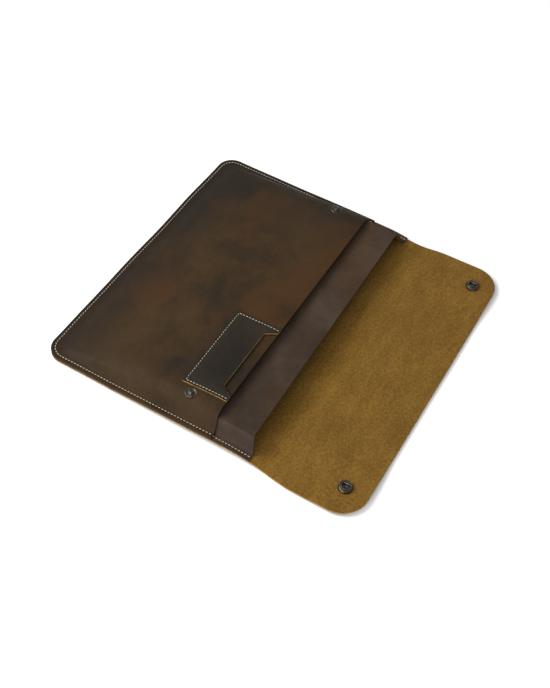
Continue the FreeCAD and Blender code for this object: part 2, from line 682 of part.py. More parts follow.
def check_and_export():
    """Stop on any failed feature or bad solid, then write one file per sub-part."""
    doc.recompute()
    for item in doc.Objects:
        if "Invalid" in item.State or "Error" in item.State:
            raise RuntimeError(f"{item.Name} failed: {item.State}")
    for piece in pieces:
        if piece.Shape.isNull() or not piece.Shape.isValid() or piece.Shape.Volume <= 0:
            raise RuntimeError(f"{piece.Label} is not a valid solid")
    os.makedirs("parts", exist_ok=True)
    for piece in pieces:
        piece.Shape.exportStep(f"parts/{piece.Label}.step")
        print(f"{piece.Label}: {len(piece.Shape.Solids)} solids, {piece.Shape.Volume:.1f} mm3")
    print(f"bends at y {number(FIRST_BEND):.3f} and {number(SECOND_BEND):.3f}, "
          f"z {number(BEND_HEIGHT):.3f}, flap lifted {FLAP_LIFT:.4f} degrees")


make_back_panel()
make_flap_fold()
make_flap()
make_divider_panel()
make_front_panel()
make_card_pocket()
for side, sign in SIDES:
    make_cap(side, sign)
    make_socket(side, sign)
    make_socket_spring(side, sign)
    make_stud(side, sign)
    make_stud_post(side, sign)
make_threads()
check_and_export()
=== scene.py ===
"""Leather laptop sleeve, built as an add-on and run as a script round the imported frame."""
import json
import math

import bmesh
import bpy
from mathutils import Matrix, Vector, noise


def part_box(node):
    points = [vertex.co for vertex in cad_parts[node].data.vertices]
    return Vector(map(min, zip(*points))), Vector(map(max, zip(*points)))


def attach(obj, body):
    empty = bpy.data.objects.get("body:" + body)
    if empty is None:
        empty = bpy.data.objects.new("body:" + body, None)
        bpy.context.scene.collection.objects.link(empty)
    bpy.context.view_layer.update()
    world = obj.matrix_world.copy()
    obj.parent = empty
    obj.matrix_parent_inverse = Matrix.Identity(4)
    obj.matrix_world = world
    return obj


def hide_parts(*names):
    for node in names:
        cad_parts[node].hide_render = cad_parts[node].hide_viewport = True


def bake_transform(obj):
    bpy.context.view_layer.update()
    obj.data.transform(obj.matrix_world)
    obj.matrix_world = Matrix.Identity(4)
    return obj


bl_info = {
    "name": "Laptop Sleeve",
    "version": (1, 0, 0),
    "blender": (4, 5, 0),
    "location": "View3D > Sidebar > Sleeve",
    "description": "Models a leather laptop sleeve with a fold-over flap",
    "category": "Object",
}

MM = 0.001
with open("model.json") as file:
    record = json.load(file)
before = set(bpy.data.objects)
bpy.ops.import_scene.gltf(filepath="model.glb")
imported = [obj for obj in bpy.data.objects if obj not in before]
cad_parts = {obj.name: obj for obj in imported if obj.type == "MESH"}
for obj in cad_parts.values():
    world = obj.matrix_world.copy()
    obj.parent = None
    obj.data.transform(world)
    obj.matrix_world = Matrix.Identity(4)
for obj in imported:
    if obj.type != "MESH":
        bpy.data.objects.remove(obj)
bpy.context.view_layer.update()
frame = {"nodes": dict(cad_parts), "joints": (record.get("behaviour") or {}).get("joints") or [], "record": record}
BACK_LOW, BACK_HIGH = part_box("back_panel")
FRONT_LOW, FRONT_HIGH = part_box("front_panel")
DIVIDER_LOW, DIVIDER_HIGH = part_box("divider_panel")
FLAP_LOW, FLAP_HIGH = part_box("flap")
POCKET_LOW, POCKET_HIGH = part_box("card_pocket")
JOINTS = {joint["name"]: joint for joint in frame["joints"]}
CLOSED_END = BACK_HIGH.y
FIRST_BEND = Vector(JOINTS["fold_bend"]["pos_m"])
SECOND_BEND = Vector(JOINTS["flap_bend"]["pos_m"])
RIGHT_ANGLE = 90.0
FLAP_LIFT = math.radians(
    RIGHT_ANGLE * (1 - frame["record"]["behaviour"]["couplings"][0]["ratio"]))
STRIP_MIDDLE = (FIRST_BEND.y + SECOND_BEND.y) / 2
HIDE_THICKNESS = BACK_HIGH.z


def length(name, description, default):
    """Length property, stored in metres."""
    return bpy.props.FloatProperty(name=name, description=description, default=default,
                                   unit="LENGTH", precision=5, min=0)


def colour(name, description, default):
    """Colour property, stored as linear red, green and blue."""
    return bpy.props.FloatVectorProperty(name=name, description=description, default=default,
                                         subtype="COLOR", size=3, min=0, max=1)


class SleeveSizes(bpy.types.PropertyGroup):
    """Sizes that shape the leather."""
    body_half: length("Body half width", "Middle line to a side edge at the closed end",
                      BACK_HIGH.x + 0.9 * MM)
    mouth_pull: length("Mouth pull", "How far each side is drawn in at the mouth", 0.7 * MM)
    wander: length("Wander", "How far the sewn edges stray from a straight line", 0.7 * MM)
    outer_corner: length("Outer corner", "Radius of the closed end's corners", 18 * MM)
    flap_corner: length("Flap corner", "Radius of the flap's corners", 27 * MM)
    divider_leather: length("Divider leather", "Thickness of the divider panel", 1.6 * MM)
    front_leather: length("Front leather", "Thickness of the front panel", 1.8 * MM)
    pocket_leather: length("Pocket leather", "Thickness of the card pocket", 1.4 * MM)
    card_gap: length("Card gap", "Rise of the card pocket's middle", 1.0 * MM)
    notch_depth: length("Notch depth", "Depth of the thumb cut-out", 11 * MM)
    notch_tab: length("Notch tab", "Leather beside the cut-out at the mouth", 6.2 * MM)
    notch_slant: length("Notch slant", "Run of the cut-out's slanted ends", 7.5 * MM)
    edge_lift: length("Edge lift", "Rise of the sewn sides at the closed end", 0.7 * MM)
    mouth_lift: length("Mouth lift", "Further rise of the sewn sides near the mouth", 3.4 * MM)
    front_pull: length("Front pull", "How far the front's mouth edge is drawn back", 2.9 * MM)
    divider_pull: length("Divider pull", "The same on the divider's left", 5.0 * MM)
    divider_skew: length("Divider skew", "Its increase at the divider's right", 3.6 * MM)
    flap_spare: length("Flap spare", "Flap beyond the plain panel, on each free edge", 1.1 * MM)
    seam_inset: length("Seam inset", "Stitches to leather edge", 4.0 * MM)
    pocket_inset: length("Pocket seam inset", "Pocket stitches to its edge", 2.6 * MM)
    stitch_pitch: length("Stitch pitch", "Length of one stitch", 3.4 * MM)
    thread_radius: length("Thread radius", "Half the thread's thickness", 0.34 * MM)
    groove: length("Groove", "Depth pressed in by the stitches", 0.3 * MM)
    cell: length("Cell", "Size of one face of the leather meshes", 3.0 * MM)


class SleeveColours(bpy.types.PropertyGroup):
    """Colours of the leathers, the metal and the thread."""
    front_dark: colour("Front dark", "Darkest tone of the burnished leather",
                       (0.0150, 0.0120, 0.0085))
    front_mid: colour("Front middle", "Main tone of the burnished leather",
                      (0.0335, 0.0190, 0.0080))
    front_warm: colour("Front warm", "Reddish pull-up patches", (0.062, 0.026, 0.0075))
    divider_mid: colour("Divider", "Divider's grain side", (0.043, 0.029, 0.020))
    pocket_mid: colour("Pocket", "Card pocket's grain side", (0.020, 0.0155, 0.011))
    suede_light: colour("Suede light", "Raised nap of the flesh side", (0.182, 0.097, 0.0155))
    suede_dark: colour("Suede dark", "Laid nap of the flesh side", (0.122, 0.061, 0.0090))
    raw_edge: colour("Raw edge", "Cut leather edge", (0.36, 0.205, 0.062))
    dark_edge: colour("Dark edge", "Burnished cut edge", (0.016, 0.011, 0.008))
    metal: colour("Metal", "Blackened plating", (0.060, 0.054, 0.044))
    worn_metal: colour("Worn metal", "Plating rubbed bright", (0.30, 0.27, 0.21))
    thread: colour("Thread", "Waxed thread", (0.56, 0.48, 0.34))


def smooth(value, low, high):
    """Smooth step from 0 at low to 1 at high."""
    share = min(max((value - low) / (high - low), 0.0), 1.0)
    return share * share * (3 - 2 * share)


def ripple(x, y, size, seed):
    """Gentle unevenness between -1 and 1, with bumps of about a size."""
    return noise.noise(Vector((x / size, y / size, seed)))


class Plan:
    """Where the leather lies: outlines and heights of the three stacked panels.

    A place is given by across, its distance from the middle line, and along, its distance
    from the closed end, both on the panel as if it were a plain rectangle.
    """

    def __init__(self, sizes):
        self.sizes = sizes
        self.half = sizes.body_half
        self.mouth = CLOSED_END - FIRST_BEND.y
        self.front_length = CLOSED_END - FRONT_LOW.y
        self.divider_length = CLOSED_END - DIVIDER_LOW.y
        self.filled_at = 0.94 * self.front_length
        self.rim = HIDE_THICKNESS + sizes.divider_leather + sizes.front_leather
        self.front_rise = FRONT_HIGH.z - self.rim
        self.divider_rise = DIVIDER_HIGH.z - HIDE_THICKNESS - sizes.divider_leather

    def width_at(self, along):
        """Share of the full half width at a distance from the closed end."""
        narrowed = self.sizes.mouth_pull * smooth(along, 60 * MM, self.mouth)
        widened = smooth(along, self.mouth + 1 * MM, self.mouth + 48 * MM)
        flap_half = FLAP_HIGH.x + self.sizes.flap_spare - self.half
        return (self.half - narrowed * (1 - widened) + flap_half * widened) / self.half

    def settled(self, x, along):
        """Place on the table: narrowed to the real outline, with hand-cut wander."""
        x *= self.width_at(along)
        free = smooth(along, self.mouth - 30 * MM, self.mouth)
        stray = self.sizes.wander * (1 - free)
        sideways = stray * ripple(0.7 * math.copysign(1, x), along, 62 * MM, 7.0)
        x += sideways * smooth(abs(x), 0.6 * self.half, self.half) * smooth(along, 0, 30 * MM)
        back = stray * (ripple(x, 0, 58 * MM, 9.0) - 0.5)
        along -= back * (1 - smooth(along, 0, 60 * MM))
        return x, CLOSED_END - along

    def rounded(self, across, inset, radius):
        """Place moved so that a square corner becomes round. inset is from the end edge."""
        beside = abs(across) - (self.half - radius)
        behind = radius - inset
        if beside <= 0 or behind <= 0:
            return across, inset
        squeeze = max(beside, behind) / math.hypot(beside, behind)
        return (math.copysign(self.half - radius + beside * squeeze, across),
                radius - behind * squeeze)

    def lift(self, inset, along):
        """Rise of the sewn sides, gone 30 mm in and on the flap."""
        rise = self.sizes.edge_lift
        rise += self.sizes.mouth_lift * smooth(along, 30 * MM, self.mouth - 24 * MM)
        rise *= 1 - smooth(along, self.mouth - 22 * MM, self.mouth + 26 * MM)
        return rise * (1 - smooth(inset, 0, 30 * MM))

    def fullness(self, along):
        """Share of the full height: a wedge from the slack closed end to the filled mouth."""
        slack = 1 - min(along / self.filled_at, 1)
        return (1 - slack ** 1.35) * smooth(along, 4 * MM, 22 * MM)

    def hide_top(self, inset, along):
        """Upper, flesh face of the back panel, fold and flap."""
        flat = HIDE_THICKNESS + self.lift(inset, along)
        past = max(along - (CLOSED_END - SECOND_BEND.y), 0)
        return flat + past * math.sin(FLAP_LIFT)

    def divider_top(self, inset, along):
        """Grain face of the divider panel."""
        level = HIDE_THICKNESS + self.sizes.divider_leather + self.lift(inset, along)
        return level + self.fullness(along) * self.divider_rise * smooth(inset, 6.5 * MM, 17 * MM)

    def front_top(self, inset, along):
        """Grain face of the front panel: over the laptop's edge, then over the papers."""
        level = self.rim + self.lift(inset, along)
        rise = 0.72 * smooth(inset, 5.5 * MM, 16 * MM) + 0.28 * smooth(inset, 11 * MM, 27 * MM)
        return level + self.fullness(along) * self.front_rise * rise

    def front_height(self, x, y):
        """Height of the front panel's grain face at a place on the table."""
        along = CLOSED_END - y
        inset = self.half - abs(x) / self.width_at(along)
        edge = min(inset, along)
        return self.front_top(inset, along) + self.waves(x, y, edge, 1.0) - self.pressed(edge)

    def waves(self, x, y, edge, seed):
        """Slight unevenness of a sewn panel, away from its edges."""
        return 0.5 * MM * ripple(x, y, 55 * MM, seed) * smooth(edge, 16 * MM, 45 * MM)

    def front_mouth(self, across):
        """How far the front's mouth edge is drawn back."""
        inset = self.half - abs(across)
        return 0.6 * MM + self.sizes.front_pull * smooth(inset, 5 * MM, 20 * MM)

    def divider_mouth(self, across):
        """How far the divider's mouth edge is drawn back, more on the right."""
        inset = self.half - abs(across)
        pull = self.sizes.divider_pull + self.sizes.divider_skew * (across / self.half + 1) / 2
        return 0.4 * MM + pull * smooth(inset, 5 * MM, 20 * MM)

    def pressed(self, edge):
        """Depth of the stitch groove at a distance from the edge."""
        off = (edge - self.sizes.seam_inset) / (0.6 * MM)
        return self.sizes.groove * math.exp(-off * off)


def stations(total, start, end, step):
    """Distances from 0 to total: given insets at both ends, even steps between them."""
    count = max(round((total - start[-1] - end[-1]) / step), 1)
    gap = (total - start[-1] - end[-1]) / count
    middle = [start[-1] + gap * index for index in range(1, count)]
    return list(start) + middle + [total - inset for inset in reversed(end)]


RIM_INSETS = [inset * MM for inset in
              (0, 0.5, 1.6, 2.8, 3.4, 4.0, 4.6, 5.2, 6.4, 8, 9.6, 11.2, 12.8, 14.4, 16)]
MOUTH_INSETS = [inset * MM for inset in (0, 0.6, 1.6, 3.2)]


def leather_grid(columns, rows, place):
    """Grid mesh whose vertices are moved onto the leather's upper face."""
    mesh = bmesh.new()
    bmesh.ops.create_grid(mesh, x_segments=len(columns) - 1, y_segments=len(rows) - 1, size=1)
    for vertex in mesh.verts:
        column = columns[round((vertex.co.x + 1) / 2 * (len(columns) - 1))]
        row = rows[round((vertex.co.y + 1) / 2 * (len(rows) - 1))]
        vertex.co = place(column, row)
    bmesh.ops.recalc_face_normals(mesh, faces=mesh.faces)
    if sum(face.normal.z for face in mesh.faces) < 0:
        bmesh.ops.reverse_faces(mesh, faces=mesh.faces)
    return mesh


def new_object(name, mesh, materials):
    """Object that holds a finished bmesh."""
    data = bpy.data.meshes.new(name)
    mesh.to_mesh(data)
    mesh.free()
    for material in materials:
        data.materials.append(material)
    piece = bpy.data.objects.new(name, data)
    bpy.context.scene.collection.objects.link(piece)
    return piece


def cut_leather(name, mesh, thickness, materials, joins_at=None):
    """Give a leather face its thickness and its softened cut edges.

    The materials are those of the upper face, the under face and the cut edge. An edge
    that continues in another piece at joins_at stays square.
    """
    piece = new_object(name, mesh, materials)
    shell = piece.modifiers.new("thickness", "SOLIDIFY")
    shell.thickness = thickness
    shell.offset = -1
    shell.use_even_offset = True
    shell.material_offset = 1
    shell.material_offset_rim = 2
    applied = bpy.data.meshes.new_from_object(
        piece.evaluated_get(bpy.context.evaluated_depsgraph_get()))
    piece.modifiers.clear()
    old = piece.data
    piece.data = applied
    bpy.data.meshes.remove(old)
    solid = bmesh.new()
    solid.from_mesh(piece.data)
    joined = 0.05 * MM
    edges = [edge for edge in solid.edges
             if len(edge.link_faces) == 2 and edge.calc_face_angle() > math.radians(50)
             and not (joins_at is not None
                      and all(abs(vertex.co.y - joins_at) < joined for vertex in edge.verts))]
    bmesh.ops.bevel(solid, geom=edges, offset=0.32 * MM, segments=2, profile=0.5,
                    affect="EDGES", material=-1, clamp_overlap=True)
    for face in solid.faces:
        face.smooth = True
    solid.to_mesh(piece.data)
    solid.free()
    piece.data.set_sharp_from_angle(angle=math.radians(48))
    return piece


class Wire:
    """Shader socket that takes part in plain arithmetic."""

    def __init__(self, shader, socket):
        self.shader = shader
        self.socket = socket

    def math(self, operation, *others):
        return self.shader.node("ShaderNodeMath", {"operation": operation},
                                {index: value for index, value in enumerate((self, *others))})

    def __add__(self, other):
        return self.math("ADD", other)

    __radd__ = __add__

    def __mul__(self, other):
        return self.math("MULTIPLY", other)

    __rmul__ = __mul__

    def __sub__(self, other):
        return self.math("SUBTRACT", other)

    def __rsub__(self, other):
        return self.shader.node("ShaderNodeMath", {"operation": "SUBTRACT"}, {0: other, 1: self})

    def step(self, low, high):
        """Smooth step of this value between two limits."""
        return self.shader.node("ShaderNodeMapRange", {"interpolation_type": "SMOOTHSTEP"},
                                {"Value": self, "From Min": low, "From Max": high})


class Shader:
    """Material under construction."""

    def __init__(self, name):
        self.material = bpy.data.materials.new(name)
        self.material.use_nodes = True
        self.tree = self.material.node_tree
        self.surface = self.tree.nodes["Principled BSDF"]
        self.coordinates = self.node("ShaderNodeTexCoord", output="Object")

    def node(self, kind, settings=None, inputs=None, output=0):
        """Any node: its settings are set first, then its sockets' values or links."""
        made = self.tree.nodes.new(kind)
        for key, value in (settings or {}).items():
            if key == "stops":
                ramp = made.color_ramp
                while len(ramp.elements) < len(value):
                    ramp.elements.new(0.5)
                for element, (position, tone) in zip(ramp.elements, value):
                    element.position = position
                    element.color = (*tone, 1)
            else:
                setattr(made, key, value)
        for key, value in (inputs or {}).items():
            if isinstance(value, Wire):
                self.tree.links.new(value.socket, made.inputs[key])
            else:
                made.inputs[key].default_value = value
        return Wire(self, made.outputs[output])

    def noise(self, scale, detail=3.0, roughness=0.5, vector=None, distortion=0.0):
        return self.node("ShaderNodeTexNoise", None,
                         {"Vector": vector or self.coordinates, "Scale": scale, "Detail": detail,
                          "Roughness": roughness, "Distortion": distortion})

    def stretched(self, scale, turn=0.0):
        """Object coordinates scaled per axis and turned about Z."""
        return self.node("ShaderNodeMapping", None,
                         {"Vector": self.coordinates, "Scale": scale, "Rotation": (0, 0, turn)})

    def axis(self, index):
        """One coordinate of the piece, in metres."""
        return self.node("ShaderNodeSeparateXYZ", None, {"Vector": self.coordinates}, index)

    def mix(self, share, first, second, blend="MIX"):
        """Mix of two colours."""
        first, second = (value if isinstance(value, Wire) else (*value, 1)
                         for value in (first, second))
        return self.node("ShaderNodeMix", {"data_type": "RGBA", "blend_type": blend},
                         {"Factor": share, 6: first, 7: second}, output=2)

    def ramp(self, value, stops):
        return self.node("ShaderNodeValToRGB", {"stops": stops}, {"Fac": value})

    def bump(self, height, distance, strength=1.0, under=None):
        inputs = {"Height": height, "Distance": distance, "Strength": strength}
        if under is not None:
            inputs["Normal"] = under
        return self.node("ShaderNodeBump", None, inputs)

    def finish(self, **sockets):
        """Set or link the surface's sockets and return the material."""
        names = {"base": "Base Color", "roughness": "Roughness", "metallic": "Metallic",
                 "normal": "Normal", "coat": "Coat Weight", "coat_roughness": "Coat Roughness",
                 "sheen": "Sheen Weight", "sheen_roughness": "Sheen Roughness",
                 "sheen_tint": "Sheen Tint", "specular": "Specular IOR Level"}
        for key, value in sockets.items():
            socket = self.surface.inputs[names[key]]
            if isinstance(value, Wire):
                self.tree.links.new(value.socket, socket)
            else:
                socket.default_value = value
        return self.material


def pebble(shader, size):
    """Leather grain: uneven pebbles with creases between them, from 0 to 1."""
    warp = shader.noise(0.35 / size, 2.0)
    wander = shader.node("ShaderNodeVectorMath", {"operation": "SCALE"},
                         {0: warp, "Scale": 0.9 * size})
    moved = shader.node("ShaderNodeVectorMath", {"operation": "ADD"},
                        {0: shader.coordinates, 1: wander})
    cells = shader.node("ShaderNodeTexVoronoi", {"feature": "DISTANCE_TO_EDGE"},
                        {"Vector": moved, "Scale": 1 / size, "Randomness": 0.95})
    return cells.step(0.0, 0.32)


def burnished_leather(name, dark, middle, warm, size=0.9 * MM, gloss=0.40, warmth=1.0,
                      rubbed=0.0):
    """Oiled pull-up leather: mottled, with a fine grain, darker at the closed end and far side."""
    shader = Shader(name)
    broad = shader.noise(13, 4.0, 0.55, distortion=0.4)
    clouds = shader.noise(34, 5.0, 0.6, distortion=0.6)
    specks = shader.noise(160, 4.0, 0.65)
    tone = broad * 0.5 + clouds * 0.34 + specks * 0.16
    base = shader.ramp(tone, [(0.36, dark), (0.50, middle),
                              (0.64, tuple(1.45 * channel for channel in middle))])
    patch = shader.noise(9, 3.0, 0.5, vector=shader.stretched((1.0, 1.6, 1.0), 0.6))
    base = shader.mix(patch.step(0.50, 0.68) * 0.55 * warmth, base, warm)
    if rubbed:
        # Dark tone mixed in towards the closed end and the far side, as much as rubbed sets
        edges = shader.axis(1).step(40 * MM, 112 * MM) + shader.axis(0).step(60 * MM, 165 * MM)
        ragged = (edges * (clouds.step(0.25, 0.75) + 0.45)).math("MINIMUM", 1.0)
        base = shader.mix(ragged * rubbed, base, dark)
    scratch = shader.noise(10, 3.0, 0.6, vector=shader.stretched((5, 130, 5), 0.9))
    scuff = scratch.step(0.66, 0.74) * clouds.step(0.45, 0.62)
    base = shader.mix(scuff * 0.30, base, tuple(2.2 * channel for channel in middle))
    grain = pebble(shader, size)
    pores = shader.noise(0.9 / size, 3.0, 0.6)
    folds = shader.noise(90, 3.0, 0.55)
    normal = shader.bump(folds, 0.5 * MM, 0.35)
    normal = shader.bump(grain * 0.7 + pores * 0.3, 0.10 * MM, 0.55, under=normal)
    roughness = gloss + clouds * 0.16 + pores * 0.08 - scuff * 0.04
    return shader.finish(base=base, roughness=roughness, normal=normal, specular=0.07)


def suede(name, light, dark):
    """Flesh side: short nap that lies in different directions, with fibre clumps."""
    shader = Shader(name)
    clouds = shader.noise(20, 4.0, 0.6, distortion=0.5)
    brushed = shader.noise(30, 4.0, 0.6, vector=shader.stretched((1.0, 3.2, 1.0), -0.25))
    clumps = shader.noise(420, 3.0, 0.7)
    fibres = shader.noise(1500, 2.0, 0.7)
    tone = clouds * 0.16 + brushed * 0.16 + clumps * 0.42 + fibres * 0.26
    base = shader.ramp(tone, [(0.36, tuple(0.8 * channel for channel in dark)), (0.46, dark),
                              (0.56, light), (0.70, tuple(1.25 * channel for channel in light))])
    spots = shader.noise(70, 2.0, 0.5)
    base = shader.mix(spots.step(0.70, 0.78) * 0.45, base, tuple(0.45 * c for c in dark))
    normal = shader.bump(clouds, 0.8 * MM, 0.3)
    normal = shader.bump(clumps * 0.6 + fibres * 0.4, 0.22 * MM, 0.6, under=normal)
    return shader.finish(base=base, roughness=0.92, normal=normal, specular=0.15,
                         sheen=0.03, sheen_roughness=0.5, sheen_tint=(*light, 1))


def cut_edge(name, raw, dark, burnished):
    """Cut edge in thin layers: tan, or darkened all over; on a seam, darkened except on the left side."""
    shader = Shader(name)
    layers = shader.noise(60, 3.0, 0.6, vector=shader.stretched((1, 1, 30)))
    base = shader.ramp(layers, [(0.35, tuple(0.40 * c for c in raw)), (0.5, raw),
                                (0.68, tuple(1.25 * c for c in raw))])
    stain = shader.noise(120, 3.0, 0.6).step(0.52, 0.66) * 0.45
    if burnished == "everywhere":
        stain = stain + 0.9
    elif burnished == "seam":
        # Darker towards the closed end and everywhere but the left side
        stain = stain + shader.axis(1).step(98 * MM, 110 * MM)
        stain = stain + shader.axis(0).step(-150 * MM, -120 * MM)
    base = shader.mix(stain.math("MINIMUM", 1.0), base, dark)
    normal = shader.bump(layers, 0.2 * MM, 0.6)
    return shader.finish(base=base, roughness=0.75, normal=normal, specular=0.2)


def plated_metal(name, dark, worn, roughness=0.34):
    """Blackened plating that has rubbed bright in places."""
    shader = Shader(name)
    patina = shader.noise(700, 4.0, 0.6)
    rub = shader.noise(260, 3.0, 0.5)
    base = shader.mix(rub.step(0.52, 0.72) * 0.55 + patina.step(0.6, 0.8) * 0.25, dark, worn)
    normal = shader.bump(patina, 0.05 * MM, 0.4)
    return shader.finish(base=base, roughness=roughness + patina * 0.2, metallic=1.0,
                         normal=normal)


def waxed_thread(name, tone):
    """Twisted thread with soiled hollows."""
    shader = Shader(name)
    soil = shader.noise(350, 3.0, 0.6)
    base = shader.mix(soil.step(0.45, 0.75) * 0.55, tone, tuple(0.4 * c for c in tone))
    twist = shader.noise(1800, 2.0, 0.5)
    return shader.finish(base=base, roughness=0.7, normal=shader.bump(twist, 0.1 * MM, 0.5))


def materials():
    """Materials by name, made once and shared by the pieces."""
    if "sleeve_front" in bpy.data.materials:
        return {item.name: item for item in bpy.data.materials}
    tones = bpy.context.scene.sleeve_colours
    front = [tuple(tone) for tone in (tones.front_dark, tones.front_mid, tones.front_warm)]
    burnished_leather("sleeve_front", *front, rubbed=0.8)
    burnished_leather("sleeve_outside", *front, gloss=0.46)
    burnished_leather("sleeve_divider", tuple(0.7 * c for c in tones.divider_mid),
                      tuple(tones.divider_mid), front[2], size=0.7 * MM, gloss=0.30, warmth=0.5)
    burnished_leather("sleeve_pocket", tuple(0.7 * c for c in tones.pocket_mid),
                      tuple(tones.pocket_mid), front[1], size=0.7 * MM, gloss=0.42, warmth=0.3)
    suede("sleeve_suede", tuple(tones.suede_light), tuple(tones.suede_dark))
    raw, dark = tuple(tones.raw_edge), tuple(tones.dark_edge)
    cut_edge("sleeve_edge", raw, dark, "nowhere")
    cut_edge("sleeve_seam_edge", raw, dark, "seam")
    cut_edge("sleeve_mouth_edge", tuple(0.5 * c for c in raw), dark, "everywhere")
    plated_metal("sleeve_metal", tuple(tones.metal), tuple(tones.worn_metal))
    plated_metal("sleeve_wire", tuple(tones.worn_metal), tuple(1.5 * c for c in tones.worn_metal))
    waxed_thread("sleeve_thread", tuple(tones.thread))
    return {item.name: item for item in bpy.data.materials}


def panel_columns(plan):
    """Places across a full-width panel, from left edge to right edge."""
    cell = plan.sizes.cell
    return [distance - plan.half for distance in
            stations(2 * plan.half, RIM_INSETS, RIM_INSETS, cell)]


def panel_place(plan, top, depth, mouth=None, seed=None):
    """Function that puts a grid vertex of a sewn panel on its upper face.

    depth is the panel's depth, mouth how far its mouth edge is drawn back.
    """
    def place(across, along):
        inset = plan.half - abs(across)
        edge = min(inset, along)
        x, distance = plan.rounded(across, along, plan.sizes.outer_corner)
        if mouth is not None:
            distance -= mouth(across) * smooth(along, depth - 70 * MM, depth)
        x, y = plan.settled(x, distance)
        z = top(inset, along)
        if seed is not None:
            z += plan.waves(x, y, edge, seed) - plan.pressed(edge)
        return Vector((x, y, z))
    return place


class SLEEVE_OT_hide(bpy.types.Operator):
    """Model the hide: back panel, fold and flap, suede side up"""
    bl_idname = "sleeve.hide"
    bl_label = "Hide"

    def execute(self, context):
        plan = Plan(context.scene.sleeve_sizes)
        stock = materials()
        look = [stock["sleeve_suede"], stock["sleeve_outside"], stock["sleeve_edge"]]
        columns = panel_columns(plan)
        bend = 0.35 * MM
        start = FIRST_BEND.y + 3 * MM
        near_bend = CLOSED_END - start
        rows = stations(near_bend, RIM_INSETS, [0], plan.sizes.cell)
        rows += [near_bend + distance for distance in
                 stations(start - STRIP_MIDDLE, [0], [0], bend)[1:]]
        panel = leather_grid(columns, rows, panel_place(plan, plan.hide_top, near_bend))
        seam_look = look[:2] + [stock["sleeve_seam_edge"]]
        back = cut_leather("hide_back", panel, HIDE_THICKNESS, seam_look, joins_at=STRIP_MIDDLE)
        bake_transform(back)
        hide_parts("back_panel", "flap_fold")

        strip = CLOSED_END - STRIP_MIDDLE
        tip = CLOSED_END - FLAP_LOW.y + plan.sizes.flap_spare
        finish = SECOND_BEND.y - 3 * MM
        rows = [strip + distance for distance in
                stations(STRIP_MIDDLE - finish, [0], [0], bend)[:-1]]
        rows += [CLOSED_END - finish + distance for distance in
                 stations(tip - (CLOSED_END - finish), [0], RIM_INSETS, plan.sizes.cell)]
        sockets = [(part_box(f"socket_{side}")[0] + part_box(f"socket_{side}")[1]) / 2
                   for side in ("left", "right")]

        def flap_place(across, along):
            inset = plan.half - abs(across)
            x, short = plan.rounded(across, tip - along, plan.sizes.flap_corner)
            x, y = plan.settled(x, tip - short)
            near = min((Vector((x, y)) - centre.to_2d()).length for centre in sockets)
            past = max(SECOND_BEND.y - y, 0)
            fall = past * math.sin(FLAP_LIFT) * 0.85 * smooth(near, 11 * MM, 58 * MM)
            calm = smooth(near, 10 * MM, 32 * MM) * smooth(past, 8 * MM, 30 * MM)
            wave = 0.45 * MM * calm * (1 + ripple(x, y, 60 * MM, 4.0))
            return Vector((x, y, plan.hide_top(inset, tip - short) - fall + wave))

        flap = cut_leather("hide_flap", leather_grid(columns, rows, flap_place),
                           HIDE_THICKNESS, look, joins_at=STRIP_MIDDLE)
        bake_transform(flap)
        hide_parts("flap")
        return {"FINISHED"}


class SLEEVE_OT_divider(bpy.types.Operator):
    """Model the divider panel between the laptop and the papers"""
    bl_idname = "sleeve.divider"
    bl_label = "Divider"

    def execute(self, context):
        plan = Plan(context.scene.sleeve_sizes)
        stock = materials()
        depth = plan.divider_length
        rows = stations(depth, RIM_INSETS, MOUTH_INSETS, plan.sizes.cell)
        grid = leather_grid(panel_columns(plan), rows,
                            panel_place(plan, plan.divider_top, depth, plan.divider_mouth, 2.0))
        piece = cut_leather("divider_leather", grid, plan.sizes.divider_leather - 0.05 * MM,
                            [stock["sleeve_divider"], stock["sleeve_suede"],
                             stock["sleeve_mouth_edge"]])
        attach(piece, "sleeve")
        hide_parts("divider_panel")
        return {"FINISHED"}


class SLEEVE_OT_front(bpy.types.Operator):
    """Model the front panel over the document pocket"""
    bl_idname = "sleeve.front"
    bl_label = "Front"

    def execute(self, context):
        plan = Plan(context.scene.sleeve_sizes)
        stock = materials()
        depth = plan.front_length
        rows = stations(depth, RIM_INSETS, MOUTH_INSETS, plan.sizes.cell)
        grid = leather_grid(panel_columns(plan), rows,
                            panel_place(plan, plan.front_top, depth, plan.front_mouth, 1.0))
        piece = cut_leather("front_leather", grid, plan.sizes.front_leather - 0.05 * MM,
                            [stock["sleeve_front"], stock["sleeve_suede"],
                             stock["sleeve_mouth_edge"]])
        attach(piece, "sleeve")
        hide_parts("front_panel")
        return {"FINISHED"}


def pocket_depth(plan):
    """Back edge of the card pocket, and its depth to the front's drawn-back mouth edge."""
    back = POCKET_HIGH.y + 0.6 * MM
    return back, back - POCKET_LOW.y - plan.front_mouth(0)


